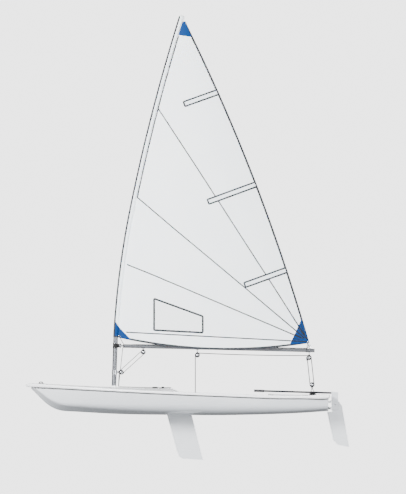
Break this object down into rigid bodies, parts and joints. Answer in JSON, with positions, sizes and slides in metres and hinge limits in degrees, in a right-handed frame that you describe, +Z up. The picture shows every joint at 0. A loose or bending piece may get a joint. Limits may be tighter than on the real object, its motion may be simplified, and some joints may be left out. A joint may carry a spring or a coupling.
{
  "type": "sailing dinghy",
  "caption": "Single-handed sailing dinghy afloat with a turning bent mast, boom, sleeved sail, lifting daggerboard and kick-up rudder.",
  "frame": {"origin": "on the centreline amidships at the waterline", "axes": "+X forward to the bow, +Y to port, +Z up"},
  "size_m": [4.4967, 1.3958, 6.19],
  "materials": {
    "hull_gelcoat": "gloss",
    "deck_gelcoat": "gloss",
    "spar_aluminium": "satin",
    "black_spar": "satin",
    "black_plastic": "satin",
    "stainless": "brushed",
    "white_foil": "gloss",
    "sailcloth": "woven",
    "blue_cloth": "woven",
    "pocket_cloth": "woven",
    "window_film": "clear",
    "rope": "braided",
    "webbing": "woven",
    "grip_foam": "matte"
  },
  "bodies": {
    "hull": {"hull_shell": "hull_gelcoat", "deck_moulding": "deck_gelcoat", "mast_step_tube": "deck_gelcoat", "daggerboard_case": "deck_gelcoat", "gudgeons": "stainless", "bow_eye": "stainless", "control_line_cleats": "black_plastic", "traveller_fairleads": "black_plastic", "traveller_line": "rope", "traveller_block": "black_plastic", "mainsheet_block": "black_plastic", "hiking_strap": "webbing", "strap_plates": "stainless", "transom_bung": "black_plastic"},
    "rig": {"mast_lower": "spar_aluminium", "mast_upper": "spar_aluminium", "mast_collars": "black_plastic", "mast_plugs": "black_plastic", "boom": "spar_aluminium", "boom_plugs": "black_plastic", "gooseneck_bracket": "black_plastic", "gooseneck_pin": "stainless", "vang_tang": "stainless", "vang_lower_block": "black_plastic", "vang_upper_block": "black_plastic", "vang_boom_key": "stainless", "boom_middle_block": "black_plastic", "boom_end_block": "black_plastic", "boom_eye_straps": "stainless", "outhaul_eye": "stainless", "sail": "sailcloth", "luff_sleeve": "sailcloth", "battens": "pocket_cloth", "sail_window": "window_film", "corner_patches": "blue_cloth"},
    "rudder": {"rudder_head": "spar_aluminium", "tiller": "black_spar", "tiller_grip": "grip_foam", "tiller_extension": "black_spar", "blade_bolt": "stainless"},
    "blade": {"rudder_blade": "white_foil"},
    "board": {"daggerboard": "white_foil", "daggerboard_cap": "black_plastic"}
  },
  "joints": [
    {"name": "mast_turn", "type": "hinge", "parent": "hull", "child": "rig", "pos_m": [0.888, 0, 0.31], "axis": [-0.0349, 0, 0.9994], "range_deg": [-90, 90]},
    {"name": "rudder_steer", "type": "hinge", "parent": "hull", "child": "rudder", "pos_m": [-2.123, 0, 0.1], "axis": [0, 0, 1], "range_deg": [-32, 32]},
    {"name": "blade_kick_up", "type": "hinge", "parent": "rudder", "child": "blade", "pos_m": [-2.194, 0, 0.062], "axis": [0, 1, 0], "range_deg": [0, 90]},
    {"name": "board_lift", "type": "slide", "parent": "hull", "child": "board", "axis": [0.2538, 0, 0.9673], "range_m": [0, 0.45]}
  ]
}
